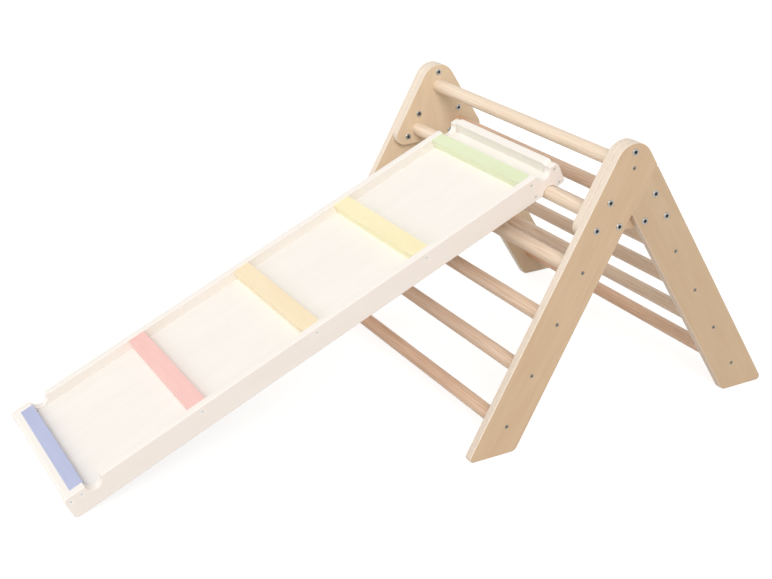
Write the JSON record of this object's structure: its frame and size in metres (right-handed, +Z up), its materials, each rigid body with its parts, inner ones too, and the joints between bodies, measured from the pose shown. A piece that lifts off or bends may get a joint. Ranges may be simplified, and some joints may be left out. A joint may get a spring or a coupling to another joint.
{
  "type": "climbing frame",
  "caption": "Low triangular wooden climbing frame for small children: two plywood A-shaped sides, round rungs, and a cleated ramp that hooks over a rung.",
  "frame": {"origin": "on the floor, at the middle of the whole footprint", "axes": "+Z up; +X from the foot of the ramp towards the back legs; +Y towards the left-hand side panel"},
  "size_m": [1.4048, 0.7536, 0.5624],
  "materials": {
    "birch_ply": "satin clear lacquer",
    "rung_wood": "satin clear lacquer",
    "zinc_steel": "bright zinc plate",
    "limed_wood": "matt white-limed lacquer",
    "blue_stain": "matt pale blue stain",
    "red_stain": "matt pale red stain",
    "orange_stain": "matt pale orange stain",
    "yellow_stain": "matt pale yellow stain",
    "green_stain": "matt pale green stain"
  },
  "bodies": {
    "frame": {"front_leg_left": "birch_ply", "front_leg_right": "birch_ply", "back_leg_left": "birch_ply", "back_leg_right": "birch_ply", "gusset_left": "birch_ply", "gusset_right": "birch_ply", "top_rung": "rung_wood", "front_gusset_rung": "rung_wood", "back_gusset_rung": "rung_wood", "front_rung_1": "rung_wood", "front_rung_2": "rung_wood", "front_rung_3": "rung_wood", "front_rung_4": "rung_wood", "back_rung_1": "rung_wood", "back_rung_2": "rung_wood", "back_rung_3": "rung_wood", "back_rung_4": "rung_wood", "connector_bolts_left": "zinc_steel", "connector_bolts_right": "zinc_steel", "sleeve_nuts_left": "zinc_steel", "sleeve_nuts_right": "zinc_steel", "rung_screws_left": "zinc_steel", "rung_screws_right": "zinc_steel", "gusset_screws_left": "zinc_steel", "gusset_screws_right": "zinc_steel"},
    "ramp": {"ramp_rail_left": "limed_wood", "ramp_rail_right": "limed_wood", "ramp_panel": "limed_wood", "ramp_end_bar": "limed_wood", "ramp_batten": "limed_wood", "ramp_lip_board": "limed_wood", "blue_cleat": "blue_stain", "red_cleat": "red_stain", "orange_cleat": "orange_stain", "yellow_cleat": "yellow_stain", "green_cleat": "green_stain", "ramp_screws_left": "zinc_steel", "ramp_screws_right": "zinc_steel"}
  },
  "joints": [
    {"name": "ramp_tilt", "type": "hinge", "parent": "frame", "child": "ramp", "pos_m": [0.30062, 0, 0.4229], "axis": [0, 1, 0], "range_deg": [0, 90]}
  ]
}
